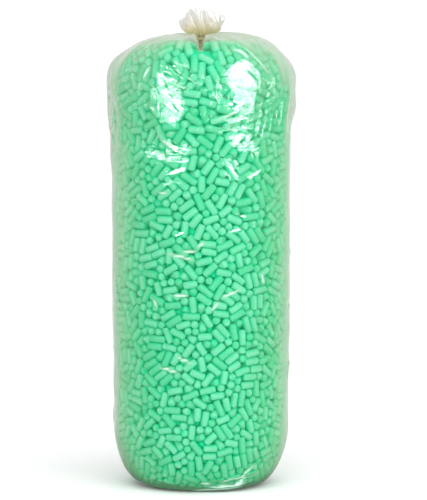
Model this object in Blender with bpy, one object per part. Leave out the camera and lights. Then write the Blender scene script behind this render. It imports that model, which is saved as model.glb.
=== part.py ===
"""A tall poly bag of loose-fill packing peanuts, standing upright with its neck tied.

Metres, +Z up. The origin is at the centre of the base, on the floor, and -Y is the front.
Three pieces: the film bag, the peanuts that fill it, and the twist tie that closes its neck.
"""

import math
import random

import bmesh
import bpy
import numpy as np
from mathutils import Matrix, Vector

# The bag's meridian, from the floor up
BASE_RADIUS = 0.140
LOWER_RADIUS = 0.2268
WALL_RADIUS = 0.2350
BULGE_RADIUS = 0.2455
CORNER_HEIGHT = 0.160
WAIST_HEIGHT = 0.600
BODY_HEIGHT = 1.178
SHOULDER_RISE = 0.133
SWELL_TALL = 0.165
BULGE_HEIGHT = BODY_HEIGHT - SHOULDER_RISE
SWELL_HEIGHT = BULGE_HEIGHT - SWELL_TALL
CREST_RADIUS = 0.075
SHOULDER_SQUARENESS = 1.3
CORNER_SWELL = 0.0075
CORNER_SWELL_ANGLE = math.radians(-8)
CORNER_SWELL_SPREAD = math.radians(26)
CORNER_SWELL_RISE = 0.023
CORNER_SWELL_TALL = 0.035
LEFT_SLUMP = 0.008
LEFT_SLUMP_WIDTH = 0.050
CORNER_STEPS = 5
WALL_STEPS = 6
SHOULDER_STEPS = 6

# The gathered neck and the loose film above the tie
NECK_RADIUS = 0.0115
NECK_DIP = 0.025
NECK_BOTTOM = BODY_HEIGHT - NECK_DIP
NECK_LENGTH = 0.018
DIP_STEPS = 4
MOUTH_RADIUS = 0.050
TUFT_HEIGHT = 0.066
TUFT_STEPS = 4
TUFT_RUFFLE = 0.012
TUFT_LEAN = 0.010
TUFT_DROOP = 0.030
TUFT_RUFFLE_WAVES = 5

# The film and how it is folded
FILM_THICKNESS = 0.0001
PLEATS = 18
PLEAT_DEPTH = 0.0070
NECK_PLEAT_DEPTH = 0.0045
NOTCH_DEPTH = 0.024
LOBE_DEPTH = 0.0030
SEAL_FOLD_OUT = 0.010
SEAL_FOLD_HEIGHT = 0.020
SEAL_FOLD_ANGLE = math.radians(-64)
SEAL_FOLD_SPREAD = math.radians(24)

# The peanuts
PEANUT_WIDTH = 0.0309
PEANUT_CROWN = 0.0115
HEAP_DROP = 0.041
HEAP_TOP = BODY_HEIGHT - HEAP_DROP
HEAP_CAP_RADIUS = 0.110
HEAP_CAP_RISE = 0.004
HEAP_ARC_STEPS = 6
PLACE_JITTER = 0.14
CROWN_JITTER = 0.20
DRIFT = 0.50
SEED = 11

# The twist tie
TIE_HEIGHT = 0.0050
TIE_THICKNESS = 0.0016
TIE_TAIL_LENGTH = 0.026
TIE_TAIL_WIDTH = 0.0044
TIE_TAIL_TURNS = 1.5
TIE_TAIL_STEPS = 12
TIE_TAIL_RISE = math.radians(35)

CLEARANCE = 0.0003
FRONT = math.radians(-90)
SEGMENTS = 2 * PLEATS
FACET_SAG = 1 - math.cos(math.pi / SEGMENTS)


def clear_scene():
    for obj in list(bpy.data.objects):
        bpy.data.objects.remove(obj, do_unlink=True)


def material(name, colour, roughness, alpha=1.0):
    """A Principled BSDF of one colour, see-through where alpha is below 1."""
    made = bpy.data.materials.new(name)
    made.use_nodes = True
    shader = made.node_tree.nodes["Principled BSDF"]
    shader.inputs["Base Color"].default_value = (*colour, 1)
    shader.inputs["Roughness"].default_value = roughness
    shader.inputs["Metallic"].default_value = 0
    shader.inputs["Alpha"].default_value = alpha
    made.diffuse_color = (*colour, alpha)
    return made


def object_from(bm, name, finish):
    """A named object, with this finish, that holds the bmesh's shape."""
    mesh = bpy.data.meshes.new(name)
    bm.to_mesh(mesh)
    bm.free()
    mesh.materials.append(finish)
    obj = bpy.data.objects.new(name, mesh)
    bpy.context.collection.objects.link(obj)
    return obj


def ease(share):
    """0 to 1 with a level start and end."""
    share = min(max(share, 0.0), 1.0)
    return share * share * (3 - 2 * share)


def rounded(start, end, steps):
    """Points of a quarter ellipse that leaves start upright and reaches end level."""
    points = []
    for step in range(1, steps + 1):
        turn = math.pi / 2 * step / steps
        points.append((
            end[0] + (start[0] - end[0]) * math.cos(turn),
            start[1] + (end[1] - start[1]) * math.sin(turn),
        ))
    return points


def wall_radius(height):
    """The filled wall widens a little upwards, and swells where it hangs from the shoulder."""
    lean = (height - CORNER_HEIGHT) / (WAIST_HEIGHT - CORNER_HEIGHT)
    waist = LOWER_RADIUS + (WALL_RADIUS - LOWER_RADIUS) * ease(lean)
    swell = ease((height - SWELL_HEIGHT) / (BULGE_HEIGHT - SWELL_HEIGHT))
    return waist + (BULGE_RADIUS - waist) * swell


def lower_meridian():
    """(radius, height) of the film from the edge of the base to the top of the wall."""
    corner = rounded((LOWER_RADIUS, CORNER_HEIGHT), (BASE_RADIUS, 0.0), CORNER_STEPS)
    wall = np.linspace(CORNER_HEIGHT, BULGE_HEIGHT, WALL_STEPS + 1)
    return corner[::-1] + [(wall_radius(z), z) for z in wall]


def shoulder_meridian():
    """(radius, height) from the bulge over the shoulder to the crest of the dome."""
    return rounded((BULGE_RADIUS, BULGE_HEIGHT), (CREST_RADIUS, BODY_HEIGHT), SHOULDER_STEPS)


def neck_meridian():
    """(radius, height) from the crest down into the dimple and up through the tie."""
    dip = []
    for step in range(1, DIP_STEPS + 1):
        share = step / DIP_STEPS
        radius = CREST_RADIUS + (NECK_RADIUS - CREST_RADIUS) * math.sin(math.pi / 2 * share)
        dip.append((radius, BODY_HEIGHT + (NECK_BOTTOM - BODY_HEIGHT) * ease(share)))
    return dip + [(NECK_RADIUS, NECK_BOTTOM + NECK_LENGTH)]


def tuft_meridian():
    """(radius, height) of the loose film above the tie, which bursts outwards and then stands up."""
    bottom = NECK_BOTTOM + NECK_LENGTH
    points = []
    for step in range(1, TUFT_STEPS + 1):
        share = step / TUFT_STEPS
        points.append((
            NECK_RADIUS + (MOUTH_RADIUS - NECK_RADIUS) * math.sin(math.pi / 2 * share) ** 0.55,
            bottom + TUFT_HEIGHT * (0.25 * share + 0.75 * share * share),
        ))
    return points


def lobes(angle, height):
    """How far the filled body strays from round: it is slightly square, and the corners drift."""
    drift = math.pi * height / BODY_HEIGHT
    return LOBE_DEPTH * (0.6 * math.cos(2 * angle + drift) + 0.4 * math.cos(4 * angle - 2 * drift))


def seal_fold(angle, height):
    """The bottom seal's folded end, which stands out at the front right corner."""
    beside = (angle - SEAL_FOLD_ANGLE) / SEAL_FOLD_SPREAD
    above = (height - SEAL_FOLD_HEIGHT) / SEAL_FOLD_HEIGHT
    if abs(beside) >= 1 or abs(above) >= 1:
        return 0.0
    return SEAL_FOLD_OUT * math.cos(math.pi / 2 * beside) * (1 - above * above)


def shoulder_swell(angle, radius, height):
    """How far the shoulder stands out more: squarer at the front and back, with a soft right corner."""
    beside = (angle - CORNER_SWELL_ANGLE) / CORNER_SWELL_SPREAD
    above = (height - BULGE_HEIGHT - CORNER_SWELL_RISE) / CORNER_SWELL_TALL
    corner = CORNER_SWELL * math.exp(-beside * beside - above * above)
    if height <= BULGE_HEIGHT or radius <= CREST_RADIUS:
        return corner if radius > CREST_RADIUS else 0.0
    squareness = 2 + SHOULDER_SQUARENESS * math.sin(angle) ** 2
    share = min((height - BULGE_HEIGHT) / (BODY_HEIGHT - BULGE_HEIGHT), 1.0)
    across = (1 - share ** squareness) ** (1 / squareness)
    return corner + CREST_RADIUS + (BULGE_RADIUS - CREST_RADIUS) * across - radius


def film_ring(radius, height, stage):
    """One ring of the film. stage is body, gather, neck or tuft, and says how it is folded."""
    points = []
    for k in range(SEGMENTS):
        angle = FRONT + 2 * math.pi * k / SEGMENTS
        turned = angle if angle <= math.pi else angle - 2 * math.pi
        out = radius
        up = height
        across = 0.0
        inner_fold = k % 2 == 0
        if stage == "body":
            out += lobes(angle, height) * ease(height / CORNER_HEIGHT) + seal_fold(turned, height)
            out += shoulder_swell(turned, radius, height)
        elif stage == "gather":
            gathered = ease((BULGE_RADIUS - radius) / (BULGE_RADIUS - CREST_RADIUS))
            out += lobes(angle, height) * (1 - gathered) + shoulder_swell(turned, radius, height)
            up -= PLEAT_DEPTH * gathered if inner_fold else 0.0
            slumped = ease((BULGE_RADIUS - radius) / LEFT_SLUMP_WIDTH) * ease(radius / CREST_RADIUS)
            up -= LEFT_SLUMP * slumped * max(-math.cos(angle), 0) ** 2
            if k == 0:
                up -= NOTCH_DEPTH * gathered * ease(radius / CREST_RADIUS)
        elif stage == "neck":
            out -= NECK_PLEAT_DEPTH if inner_fold else 0.0
        else:
            share = (height - NECK_BOTTOM - NECK_LENGTH) / TUFT_HEIGHT
            spread = math.cos(TUFT_RUFFLE_WAVES * angle)
            out += TUFT_RUFFLE * share * spread - (NECK_PLEAT_DEPTH if inner_fold else 0.0)
            up += 0.5 * TUFT_RUFFLE * share * math.cos(2 * angle + 1)
            up -= TUFT_DROOP * share ** 1.5 * (max(-math.cos(angle), 0) ** 3 + 0.5 * max(math.cos(angle), 0) ** 3)
            across = TUFT_LEAN * share * (1 - 0.3 * share)
        points.append(Vector((out * math.cos(angle) + across, out * math.sin(angle), up)))
    return points


def film_bag(finish):
    """The bag as one sheet: a round base, drawn up ring by ring to the open mouth."""
    bm = bmesh.new()
    stages = [(p, "body") for p in lower_meridian()]
    stages += [(p, "gather") for p in shoulder_meridian()]
    dip = neck_meridian()
    stages += [(p, "gather") for p in dip[:-2]]
    stages += [(p, "neck") for p in dip[-2:]]
    stages += [(p, "tuft") for p in tuft_meridian()]
    ring = bmesh.ops.create_circle(bm, segments=SEGMENTS, radius=BASE_RADIUS, cap_ends=True)["verts"]
    edges = list({e for v in ring for e in v.link_edges})
    ordered = sorted(ring, key=lambda v: (math.atan2(v.co.y, v.co.x) - FRONT) % (2 * math.pi))
    place_ring(ordered, film_ring(*stages[0][0], stages[0][1]))
    for (radius, height), stage in stages[1:]:
        made = bmesh.ops.extrude_edge_only(bm, edges=edges)["geom"]
        edges = [g for g in made if isinstance(g, bmesh.types.BMEdge)]
        risers = {v: next(e.other_vert(v) for e in v.link_edges if e.other_vert(v) not in made)
                  for v in made if isinstance(v, bmesh.types.BMVert)}
        above = {below: v for v, below in risers.items()}
        ordered = [above[v] for v in ordered]
        place_ring(ordered, film_ring(radius, height, stage))
    bmesh.ops.recalc_face_normals(bm, faces=bm.faces)
    if bm.faces[:][0].normal.z > 0:
        bmesh.ops.reverse_faces(bm, faces=bm.faces)
    bag = object_from(bm, "bag_film", finish)
    thicken = bag.modifiers.new("Film gauge", "SOLIDIFY")
    thicken.thickness = FILM_THICKNESS
    thicken.offset = -1
    bag.data.shade_smooth()
    return bag


def place_ring(verts, points):
    for vert, point in zip(verts, points):
        vert.co = point


def inside_film(radius, angle, height):
    """The radius to which a peanut can lie there, inside the film's flat facets."""
    swell = lobes(angle, height) * ease(height / CORNER_HEIGHT)
    swell *= 1 - ease((height - BULGE_HEIGHT) / (HEAP_TOP - BULGE_HEIGHT))
    return (radius + swell) * (1 - FACET_SAG) - FILM_THICKNESS - 2 * CLEARANCE


def heap_meridian():
    """(radius, height) of the heap's surface, from its base up to the edge of its cap."""
    base = FILM_THICKNESS + CLEARANCE
    lower = [(radius, max(height, base)) for radius, height in lower_meridian()]
    return lower + rounded(
        (BULGE_RADIUS, BULGE_HEIGHT), (HEAP_CAP_RADIUS, HEAP_TOP), HEAP_ARC_STEPS
    )


def walk(meridian, share):
    """(radius, height, outward slope) at this share of the meridian's length."""
    points = np.array(meridian)
    steps = np.linalg.norm(np.diff(points, axis=0), axis=1)
    along = np.concatenate([[0.0], np.cumsum(steps)])
    at = min(max(share, 0.0), 1.0) * along[-1]
    radius, height = np.interp(at, along, points[:, 0]), np.interp(at, along, points[:, 1])
    leg = min(int(np.searchsorted(along, at, side="right")) - 1, len(steps) - 1)
    across, up = (points[leg + 1] - points[leg]) / steps[leg]
    return float(radius), float(height), Vector((up, -across))


def pair_cells(columns, rows, rng):
    """Pairs of neighbouring cells, each pair one peanut on its side. A cell left alone is one end on."""
    free = {(i, j) for i in range(columns) for j in range(rows)}
    pairs = []
    for cell in rng.sample(sorted(free), len(free)):
        if cell not in free:
            continue
        i, j = cell
        beside = [(i + 1, j), (i - 1, j)]
        above = [(i, j + 1), (i, j - 1)]
        rng.shuffle(beside)
        rng.shuffle(above)
        upright = math.sin(0.9 * i) * math.sin(0.8 * j + 1) + rng.uniform(-0.6, 0.6) > 0
        wanted = above + beside if upright else beside + above
        mate = next((c for c in wanted if c in free), None)
        if mate:
            free -= {cell, mate}
            pairs.append((cell, mate))
    return pairs


def drift(u, v, columns, rows):
    """How far the cells wander from their lattice, so that few peanuts lie level or upright."""
    along = 2 * math.pi * u / columns
    across = DRIFT * math.sin(0.75 * v + 1.4 * math.sin(2 * along))
    up = DRIFT * math.sin(6 * along + 1.4 * math.sin(0.4 * v))
    return across, up * math.sin(math.pi * min(max(v / rows, 0), 1)) ** 0.5


def peanut_heap(finish):
    """All the peanuts as one heap. Its surface is a sheet of cells, two to a peanut: each cell is
    poked to a crown, and the edge between a pair's crowns is turned to make the peanut's back."""
    rng = random.Random(SEED)
    meridian = heap_meridian()
    length = float(np.linalg.norm(np.diff(np.array(meridian), axis=0), axis=1).sum())
    columns = round(2 * math.pi * WALL_RADIUS / PEANUT_WIDTH)
    rows = round(length / PEANUT_WIDTH)
    bm = bmesh.new()
    bmesh.ops.create_grid(bm, x_segments=columns, y_segments=rows, size=0.5)
    bmesh.ops.transform(
        bm, verts=bm.verts, matrix=Matrix.Diagonal((columns, rows, 1, 1)) @ Matrix.Translation((0.5, 0.5, 0))
    )
    cell_of = {f: (int(f.calc_center_median().x), int(f.calc_center_median().y)) for f in bm.faces}
    face_at = {cell: face for face, cell in cell_of.items()}
    ridges = []
    for one, other in pair_cells(columns, rows, rng):
        shared = set(face_at[one].edges) & set(face_at[other].edges)
        ridges.append(shared.pop())
    lattice = set(bm.verts)
    bmesh.ops.poke(bm, faces=bm.faces)
    turned = bmesh.ops.rotate_edges(bm, edges=ridges)["edges"]
    print("peanuts on their side", len(turned), "cells", columns, rows)

    shift = {}
    for i in range(columns + 1):
        for j in range(rows + 1):
            inside = 0 < j < rows
            shift[i, j] = [rng.uniform(-PLACE_JITTER, PLACE_JITTER) if inside else 0.0 for _ in range(2)]
    for j in range(rows + 1):
        shift[columns, j] = shift[0, j]
    for vert in bm.verts:
        u, v = vert.co.x, vert.co.y
        if vert in lattice:
            across, up = shift[round(u), round(v)]
            sunk = PEANUT_CROWN
        else:
            across, up = rng.uniform(-PLACE_JITTER, PLACE_JITTER) / 2, rng.uniform(-PLACE_JITTER, PLACE_JITTER) / 2
            sunk = PEANUT_CROWN * CROWN_JITTER * rng.random()
        wander = drift(u, v, columns, rows)
        angle = FRONT + math.pi + 2 * math.pi * (u + across + wander[0]) / columns
        radius, height, outward = walk(meridian, (v + up + wander[1]) / rows)
        if round(v) == 0 and vert in lattice:
            outward = Vector((1, 0))
        radius = inside_film(radius, angle, height) - outward.x * sunk
        height -= outward.y * sunk
        vert.co = (radius * math.cos(angle), radius * math.sin(angle), height)
    bmesh.ops.remove_doubles(bm, verts=bm.verts, dist=1e-5)
    bmesh.ops.holes_fill(bm, edges=[e for e in bm.edges if e.is_boundary], sides=0)
    top = max(bm.faces, key=lambda f: (len(f.verts), f.calc_center_median().z))
    bmesh.ops.poke(bm, faces=[top], offset=HEAP_CAP_RISE)
    bmesh.ops.recalc_face_normals(bm, faces=bm.faces)
    return object_from(bm, "peanut_fill", finish)


def flat_bar(bm, width, thickness):
    """The outline of a flat bar, four edges round the Z axis."""
    outline = bmesh.ops.create_circle(bm, segments=4, radius=math.sqrt(0.5))["verts"]
    bmesh.ops.rotate(bm, verts=outline, cent=(0, 0, 0), matrix=Matrix.Rotation(math.pi / 4, 3, "Z"))
    bmesh.ops.scale(bm, verts=outline, vec=(width, thickness, 1))
    return outline


def tie_tail():
    """The two ends of the tie twisted together, one flat bar that turns as it goes."""
    bm = bmesh.new()
    flat_bar(bm, TIE_TAIL_WIDTH, TIE_THICKNESS)
    edges = bm.edges[:]
    step = TIE_TAIL_LENGTH / TIE_TAIL_STEPS
    turn = 2 * math.pi * TIE_TAIL_TURNS / TIE_TAIL_STEPS
    for _ in range(TIE_TAIL_STEPS):
        made = bmesh.ops.extrude_edge_only(bm, edges=edges)["geom"]
        edges = [g for g in made if isinstance(g, bmesh.types.BMEdge)]
        verts = [g for g in made if isinstance(g, bmesh.types.BMVert)]
        bmesh.ops.translate(bm, verts=verts, vec=(0, 0, step))
        bmesh.ops.rotate(bm, verts=verts, cent=(0, 0, 0), matrix=Matrix.Rotation(turn, 3, "Z"))
    bmesh.ops.holes_fill(bm, edges=[e for e in bm.edges if e.is_boundary], sides=4)
    bmesh.ops.recalc_face_normals(bm, faces=bm.faces)
    return bm


def neck_tie(finish):
    """The tie round the neck, a flat band with its twisted tail towards the front."""
    inner = (NECK_RADIUS + CLEARANCE) / math.cos(math.pi / SEGMENTS)
    middle = NECK_BOTTOM + NECK_LENGTH / 2
    bm = bmesh.new()
    corner = flat_bar(bm, TIE_THICKNESS, TIE_HEIGHT)
    bmesh.ops.rotate(bm, verts=corner, cent=(0, 0, 0), matrix=Matrix.Rotation(math.pi / 2, 3, "X"))
    bmesh.ops.translate(bm, verts=corner, vec=(inner + TIE_THICKNESS / 2, 0, middle))
    bmesh.ops.spin(
        bm, geom=bm.edges[:], cent=(0, 0, 0), axis=(0, 0, 1),
        angle=2 * math.pi, steps=SEGMENTS, use_merge=True,
    )
    bmesh.ops.remove_doubles(bm, verts=bm.verts, dist=1e-6)
    bmesh.ops.recalc_face_normals(bm, faces=bm.faces)
    band = object_from(bm, "neck_tie", finish)
    tail = object_from(tie_tail(), "tie_tail_guide", finish)
    tail.hide_render = True
    tail.display_type = "WIRE"
    tail.location = (0, -(inner + TIE_THICKNESS / 3), middle)
    tail.rotation_euler = (math.pi / 2 - TIE_TAIL_RISE, 0, 0)
    join = band.modifiers.new("Twisted tail", "BOOLEAN")
    join.operation = "UNION"
    join.solver = "MANIFOLD"
    join.object = tail
    return band


def main():
    clear_scene()
    film_bag(material("clear poly film", (0.80, 0.88, 0.82), 0.18, alpha=0.28))
    peanut_heap(material("green starch foam", (0.19, 0.86, 0.45), 0.85))
    neck_tie(material("cream twist tie", (0.72, 0.64, 0.45), 0.6))


main()
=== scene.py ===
# %% [markdown]
# # A bag of packing peanuts
#
# Loose fill comes in a tall clear poly bag. The bag is filled to its shoulder with thousands of
# green starch peanuts, its neck is gathered and tied, and it stands on its own flattened base.
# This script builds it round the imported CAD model, which gives every piece its place and size.

import math

import bmesh
import bpy
import numpy as np
from mathutils import Matrix, Vector
from mathutils.bvhtree import BVHTree
from mathutils.kdtree import KDTree


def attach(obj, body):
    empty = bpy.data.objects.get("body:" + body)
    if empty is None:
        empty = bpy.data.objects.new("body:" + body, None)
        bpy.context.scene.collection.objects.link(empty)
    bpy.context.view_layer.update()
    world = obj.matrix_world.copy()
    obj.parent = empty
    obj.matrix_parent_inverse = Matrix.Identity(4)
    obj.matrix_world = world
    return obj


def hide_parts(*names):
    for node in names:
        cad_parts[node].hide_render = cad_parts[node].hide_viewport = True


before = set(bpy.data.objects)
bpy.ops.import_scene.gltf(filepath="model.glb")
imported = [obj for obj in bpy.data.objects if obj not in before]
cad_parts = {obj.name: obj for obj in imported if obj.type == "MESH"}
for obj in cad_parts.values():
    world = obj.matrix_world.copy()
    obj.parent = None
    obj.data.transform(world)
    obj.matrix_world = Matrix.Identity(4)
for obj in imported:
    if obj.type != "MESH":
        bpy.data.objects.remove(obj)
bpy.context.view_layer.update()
scene = bpy.context.scene

# %% [markdown]
# The camera comes first. A photographer far from a tall bag uses a long lens, so the bag's sides
# stay nearly upright. The lens looks down by a few degrees: the base shows a curved front edge,
# and the shoulder is seen almost level.

# %% Camera
CAMERA_DISTANCE = 8.0
CAMERA_DOWN = math.radians(4.6)
CAMERA_TARGET = Vector((0.0325, 0.0, 0.612))
METRES_PER_PIXEL = 0.002605
PHOTO_HEIGHT = 500
SENSOR = 36.0

camera_data = bpy.data.cameras.new("camera")
camera_data.sensor_width = SENSOR
camera_data.lens = SENSOR * CAMERA_DISTANCE / (PHOTO_HEIGHT * METRES_PER_PIXEL)
camera = bpy.data.objects.new("camera", camera_data)
scene.collection.objects.link(camera)
towards_camera = Vector((0, -math.cos(CAMERA_DOWN), math.sin(CAMERA_DOWN)))
camera.location = CAMERA_TARGET + CAMERA_DISTANCE * towards_camera
camera.rotation_euler = (-towards_camera).to_track_quat("-Z", "Y").to_euler()
scene.camera = camera
print("lens of", round(camera_data.lens), "mm from", CAMERA_DISTANCE, "m")

# %% [markdown]
# The bag is a turned shape at heart, so one line from the floor to the mouth says most of it:
# a flat base, a rounded bottom, a nearly straight wall, a domed shoulder, a dimple where the neck
# goes down, and the loose film above the tie. The numbers are the CAD model's own.

# %% The bag's outline, from the floor up
BASE_RADIUS = 0.140
LOWER_RADIUS = 0.2268
WAIST_RADIUS = 0.2350
BULGE_RADIUS = 0.2455
CORNER_HEIGHT = 0.160
WAIST_HEIGHT = 0.600
SWELL_HEIGHT = 0.880
BULGE_HEIGHT = 1.045
CREST_HEIGHT = 1.178
CREST_RADIUS = 0.075
NECK_RADIUS = 0.0112
NECK_BOTTOM = 1.153
NECK_TOP = 1.171
MOUTH_RADIUS = 0.050
MOUTH_HEIGHT = 1.237
PLEATS = 18
LOBE_DEPTH = 0.0030
LEFT_SAG = 0.008
FOLD_DEPTH = 0.009
FOLD_WIDTH = 0.009
FRONT = math.radians(-90)


def ease(share):
    """0 to 1 with a level start and end, for a number or an array."""
    share = np.clip(share, 0.0, 1.0)
    return share * share * (3 - 2 * share)


def arc(start, end, steps):
    """Points of a quarter ellipse that leaves start upright and reaches end level."""
    turns = np.linspace(0, math.pi / 2, steps + 1)[1:]
    across = end[0] + (start[0] - end[0]) * np.cos(turns)
    up = start[1] + (end[1] - start[1]) * np.sin(turns)
    return list(zip(across.tolist(), up.tolist()))


def wall_radius(height):
    """The film's radius between the rounded bottom and the bulge."""
    lean = ease((height - CORNER_HEIGHT) / (WAIST_HEIGHT - CORNER_HEIGHT))
    waist = LOWER_RADIUS + (WAIST_RADIUS - LOWER_RADIUS) * lean
    swell = ease((height - SWELL_HEIGHT) / (BULGE_HEIGHT - SWELL_HEIGHT))
    return waist + (BULGE_RADIUS - waist) * swell


def body_outline(corner_steps, wall_steps):
    """(radius, height) from the base's edge to the bulge under the shoulder."""
    corner = arc((LOWER_RADIUS, CORNER_HEIGHT), (BASE_RADIUS, 0.0), corner_steps)[::-1]
    heights = np.linspace(CORNER_HEIGHT, BULGE_HEIGHT, wall_steps + 1)
    return corner + [(float(wall_radius(z)), float(z)) for z in heights]


def lobes(angle, height):
    """How far the filled body strays from round, as in the CAD model."""
    drift = math.pi * height / CREST_HEIGHT
    return LOBE_DEPTH * (0.6 * np.cos(2 * angle + drift) + 0.4 * np.cos(4 * angle - 2 * drift))


def shoulder_squareness(angle):
    """The film is drawn in from the sides, so the shoulder is squarer at the front and back."""
    return 2.0 + 1.3 * np.sin(angle) ** 2


def shoulder_radius(height, squareness):
    """The film's radius at a height between the bulge and the crest."""
    share = np.clip((height - BULGE_HEIGHT) / (CREST_HEIGHT - BULGE_HEIGHT), 0.0, 1.0)
    across = (1 - share ** squareness) ** (1 / squareness)
    return CREST_RADIUS + (BULGE_RADIUS - CREST_RADIUS) * across


def slump(points):
    """How far the shoulder sags at its left, and lies open in the fold at its front."""
    angle = np.arctan2(points[..., 1], points[..., 0])
    radius = np.linalg.norm(points[..., :2], axis=-1)
    high = ease((points[..., 2] - 1.06) / 0.08)
    left = LEFT_SAG * np.maximum(-np.cos(angle), 0) ** 2 * ease(radius / CREST_RADIUS)
    fold = FOLD_DEPTH * np.exp(-((points[..., 0] / FOLD_WIDTH) ** 2)) * (points[..., 1] < 0)
    return high * (left + fold)


print("wall radius at the waist:", WAIST_RADIUS, "m, at the bulge:", BULGE_RADIUS, "m")

# %% [markdown]
# ## The peanuts
#
# Starch loose fill is extruded and cut off while it is hot, so each peanut is a short cylinder
# with blunt, slightly rounded ends. One profile is spun round its axis for each of a few sizes.
# There are thousands of copies, so each has only a few dozen faces.

# %% Turned shapes
def spin_profile(bm, points, steps, merge):
    """Joins the points into a line, spins it once round Z and closes the seam and the poles."""
    edges = [bm.edges.new(pair) for pair in zip(points, points[1:])]
    bmesh.ops.spin(
        bm, geom=points + edges, cent=(0, 0, 0), axis=(0, 0, 1),
        angle=2 * math.pi, steps=steps, use_merge=True,
    )
    bmesh.ops.remove_doubles(bm, verts=bm.verts, dist=merge)
    bmesh.ops.recalc_face_normals(bm, faces=bm.faces)
    if bm.calc_volume(signed=True) < 0:  # the shape is still inside out
        bmesh.ops.reverse_faces(bm, faces=bm.faces)


def finished_mesh(bm, name):
    """Turns a bmesh into a mesh of this name."""
    mesh = bpy.data.meshes.new(name)
    bm.to_mesh(mesh)
    bm.free()
    return mesh


def new_piece(name, mesh):
    """An object at the origin that shows the mesh."""
    piece = bpy.data.objects.new(name, mesh)
    scene.collection.objects.link(piece)
    return piece


# %% One peanut
PEANUT_SIDES = 9
HALF_PROFILE = [(0, -0.5), (0.58, -0.497), (0.87, -0.465), (1.0, -0.385)]


def peanut_shape(radius, length, bend, tone):
    """A blunt cylinder along Z. bend bows it sideways, and tone is kept for its colour."""
    bm = bmesh.new()
    profile = HALF_PROFILE + [(r, -z) for r, z in reversed(HALF_PROFILE)]
    points = [bm.verts.new((r * radius, 0, z * length)) for r, z in profile]
    spin_profile(bm, points, PEANUT_SIDES, 1e-6)
    layer = bm.verts.layers.float.new("tone")
    for vert in bm.verts:
        vert.co.x += bend * (1 - (2 * vert.co.z / length) ** 2)
        vert[layer] = tone
    for face in bm.faces:
        face.smooth = True
    return finished_mesh(bm, "peanut")


# Each kind's radius, length and bend in metres, and its tone.
PEANUT_KINDS = [
    (0.0096, 0.0405, 0.0000, 0.50),
    (0.0100, 0.0385, 0.0008, 0.85),
    (0.0093, 0.0425, -0.0010, 0.25),
    (0.0092, 0.0370, 0.0005, 0.65),
    (0.0098, 0.0415, 0.0014, 0.10),
    (0.0099, 0.0350, -0.0006, 1.00),
]
peanut_meshes = [peanut_shape(*kind) for kind in PEANUT_KINDS]
print("faces of a peanut:", len(peanut_meshes[0].polygons))

# %% [markdown]
# In a full bag the film presses the outer peanuts flat against itself, and a few stay wedged end
# on. No lattice gives that, so the outer layers are really packed. Each peanut is three balls on a
# short rod. All start at random, and in small steps they push each other apart, keep inside the
# film and press outwards, until they have settled. The seed makes each run the same.

# %% The space that the peanuts fill
HEAP_TOP = 1.162
HEAP_DIMPLE = 0.030
HEAP_SQUARENESS = 2.6
LAYER_DEPTH = 0.050
LAYER_MARGIN = 0.008
rng = np.random.default_rng(7)

heights = BULGE_HEIGHT + (HEAP_TOP - BULGE_HEIGHT) * np.sin(np.linspace(0, math.pi / 2, 12))[1:]
heap_outline = [(0.0, 0.0)] + body_outline(10, 24)
heap_outline += [(float(shoulder_radius(z, HEAP_SQUARENESS)), float(z)) for z in heights]
heap_outline = np.array(heap_outline + [(0.0, HEAP_TOP - HEAP_DIMPLE)])
leg_start = heap_outline[:-1]
leg = heap_outline[1:] - leg_start
leg_length = np.linalg.norm(leg, axis=1)
leg_along = leg / leg_length[:, None]
leg_inward = np.stack([-leg_along[:, 1], leg_along[:, 0]], axis=1)


def depth_inside(points):
    """How deep points lie under the film, and the way inwards there, as 3-D vectors."""
    radius = np.linalg.norm(points[:, :2], axis=1)
    flat = np.stack([radius, points[:, 2]], axis=1)
    offset = flat[:, None, :] - leg_start[None]
    along = np.clip(np.einsum("pij,ij->pi", offset, leg_along), 0, leg_length)
    nearest = offset - along[:, :, None] * leg_along[None]
    distance = np.linalg.norm(nearest, axis=2)
    index = distance.argmin(axis=1)
    inward = leg_inward[index]
    side = np.einsum("pj,pj->p", nearest[np.arange(len(points)), index], inward)
    depth = np.where(side >= 0, 1.0, -1.0) * distance[np.arange(len(points)), index]
    outwards = points[:, :2] / np.maximum(radius, 1e-6)[:, None]
    return depth, np.column_stack([outwards * inward[:, :1], inward[:, 1]])


def random_places(count):
    """Places spread evenly over the film's area, at any depth in the outer layers."""
    area = leg_length * (leg_start[:, 0] + heap_outline[1:, 0])
    chosen = rng.choice(len(area), count, p=area / area.sum())
    flat = leg_start[chosen] + leg[chosen] * rng.random((count, 1))
    flat += leg_inward[chosen] * rng.uniform(LAYER_MARGIN, LAYER_DEPTH - LAYER_MARGIN, (count, 1))
    turn = rng.uniform(0, 2 * math.pi, count)
    return np.column_stack([flat[:, 0] * np.cos(turn), flat[:, 0] * np.sin(turn), flat[:, 1]])


def near_pairs(balls, reach):
    """Index pairs of balls of different peanuts that are within reach of each other."""
    tree = KDTree(len(balls))
    for index, ball in enumerate(balls):
        tree.insert(ball, index)
    tree.balance()
    found = []
    for index, ball in enumerate(balls):
        found += [(index, other) for _, other, _ in tree.find_range(ball, reach) if other > index]
    pairs = np.array(found)
    return pairs[pairs[:, 0] // 3 != pairs[:, 1] // 3]


print("heap outline points:", len(heap_outline))

# %% Pack the outer layers
PEANUT_COUNT = 4500
PACKING_STEPS = 150
SEARCH_EVERY = 6
SEARCH_REACH = 0.026
SPRING = 0.42
DEEP_PULL = 0.3
PUSH_GAIN = 1.5
OUTWARD_PRESS = 0.0005
FILM_GAP = 0.0026
BALL_FIT = 1.02
END_FIT = 0.86
SIZE_AT_BASE = 1.02
SIZE_GAIN = 0.11
END_ON = 0.75
BALL_OFFSETS = np.array([-1.0, 0.0, 1.0])

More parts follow.
